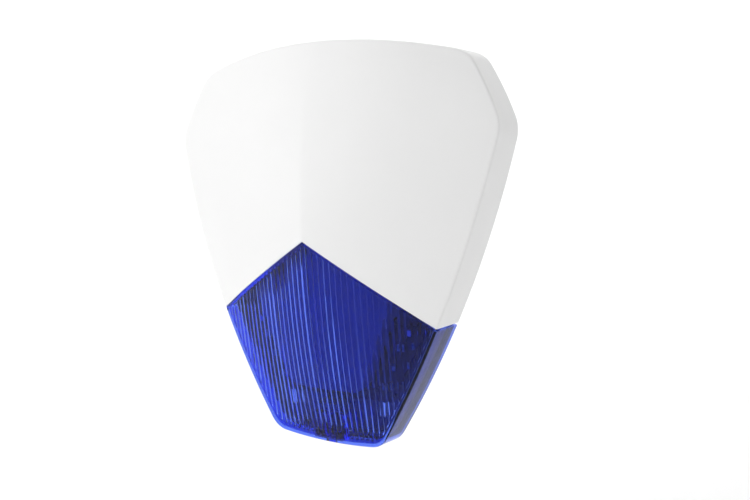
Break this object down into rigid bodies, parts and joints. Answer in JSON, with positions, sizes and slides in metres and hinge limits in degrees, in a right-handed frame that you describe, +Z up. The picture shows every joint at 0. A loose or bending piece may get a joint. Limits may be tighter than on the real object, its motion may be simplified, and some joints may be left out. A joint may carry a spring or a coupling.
{
  "type": "outdoor alarm siren",
  "caption": "Shield-shaped wall siren with hinged cover and strobe lens over a sounder, radio board and batteries.",
  "frame": {"origin": "on the wall plane, behind the middle of the housing", "axes": "+Y goes into the wall, +Z is up, +X is to the right for someone facing the cover"},
  "size_m": [0.262, 0.061, 0.2888],
  "materials": {
    "cover_white": "satin moulded ASA, fine grain",
    "lens_blue": "blue transparent polycarbonate with fine ribs inside",
    "seal_rubber": "matt EPDM",
    "screw_steel": "zinc-plated steel",
    "lock_steel": "stainless steel",
    "housing_grey": "moulded ASA, fine grain",
    "chassis_grey": "moulded ASA",
    "vial_green": "tinted acrylic vial",
    "black_plastic": "moulded black plastic",
    "spring_steel": "nickel-plated spring steel",
    "mesh_steel": "stainless mesh",
    "disc_brass": "brass disc",
    "board_green": "glass-fibre board, green solder mask",
    "board_black": "glass-fibre board, black solder mask",
    "led_package": "white package, clear dome",
    "can_tin": "tin-plated steel",
    "coil_copper": "enamelled copper",
    "terminal_green": "green polyamide",
    "white_plastic": "white acetal",
    "cell_sleeve": "printed plastic sleeve",
    "lead_red": "PVC insulation"
  },
  "bodies": {
    "root": {"antenna_coil": "coil_copper", "battery_1": "cell_sleeve", "battery_2": "cell_sleeve", "battery_3": "cell_sleeve", "battery_4": "cell_sleeve", "battery_contact_strip": "spring_steel", "battery_lead": "lead_red", "battery_leaf_springs": "spring_steel", "battery_tray": "black_plastic", "battery_tray_screw_1": "screw_steel", "battery_tray_screw_2": "screw_steel", "board_screw_1": "screw_steel", "board_screw_2": "screw_steel", "cable_grommet": "seal_rubber", "chassis_gasket": "seal_rubber", "chassis_screw_1": "screw_steel", "chassis_screw_2": "screw_steel", "chassis_screw_3": "screw_steel", "chassis_screw_4": "screw_steel", "controller_chip": "black_plastic", "cover_tamper_switch": "black_plastic", "inner_chassis": "chassis_grey", "insect_screen": "mesh_steel", "led_1": "led_package", "led_2": "led_package", "led_3": "led_package", "led_4": "led_package", "led_5": "led_package", "led_6": "led_package", "led_board": "board_black", "led_board_screw_1": "screw_steel", "led_board_screw_2": "screw_steel", "led_lead": "lead_red", "level_vial": "vial_green", "main_board": "board_green", "pairing_button_body": "can_tin", "piezo_disc": "disc_brass", "power_switch_body": "black_plastic", "radio_shield_can": "can_tin", "rear_housing": "housing_grey", "sounder_chamber": "black_plastic", "sounder_lead": "lead_red", "sounder_ring": "black_plastic", "sounder_screw_1": "screw_steel", "sounder_screw_2": "screw_steel", "sounder_screw_3": "screw_steel", "terminal_block": "terminal_green", "wall_tamper_cap": "black_plastic", "wall_tamper_spring": "spring_steel"},
    "cover": {"front_cover": "cover_white", "strobe_lens": "lens_blue", "lens_seal": "seal_rubber", "lens_screw_1": "screw_steel", "lens_screw_2": "screw_steel"},
    "lock_washer": {"lock_screw_washer": "screw_steel"},
    "lock_screw": {"cover_lock_screw": "lock_steel"},
    "wall_tamper": {"wall_tamper_plunger": "black_plastic"},
    "cover_tamper": {"cover_tamper_plunger": "white_plastic"},
    "power_slider": {"power_switch_slider": "white_plastic"},
    "pairing_key": {"pairing_button": "black_plastic"}
  },
  "joints": [
    {"name": "cover_swing", "type": "hinge", "parent": "root", "child": "cover", "pos_m": [0, -0.0079, 0.1379], "axis": [-1, 0, 0], "range_deg": [0, 40]},
    {"name": "washer_travel", "type": "slide", "parent": "cover", "child": "lock_washer", "axis": [0, 0, 1], "range_m": [0, 0.0062]},
    {"name": "lock_screw_turn", "type": "hinge", "parent": "lock_washer", "child": "lock_screw", "pos_m": [0, -0.018, -0.1425], "axis": [0, 0, 1], "range_deg": [0, 3240]},
    {"name": "wall_tamper_travel", "type": "slide", "parent": "root", "child": "wall_tamper", "axis": [0, 1, 0], "range_m": [0, 0.0025], "stiffness_N_per_m": 200, "springref_m": 0.003},
    {"name": "cover_tamper_travel", "type": "slide", "parent": "root", "child": "cover_tamper", "axis": [0, 1, 0], "range_m": [0, 0.0012], "stiffness_N_per_m": 300, "springref_m": -0.001},
    {"name": "power_switch_slide", "type": "slide", "parent": "root", "child": "power_slider", "axis": [1, 0, 0], "range_m": [0, 0.003]},
    {"name": "pairing_button_press", "type": "slide", "parent": "root", "child": "pairing_key", "axis": [0, 1, 0], "range_m": [0, 0.0005], "stiffness_N_per_m": 500, "springref_m": -0.0005}
  ],
  "couplings": [
    {"joint": "lock_screw_turn", "follows": "washer_travel", "rad_per_m": 8976}
  ]
}
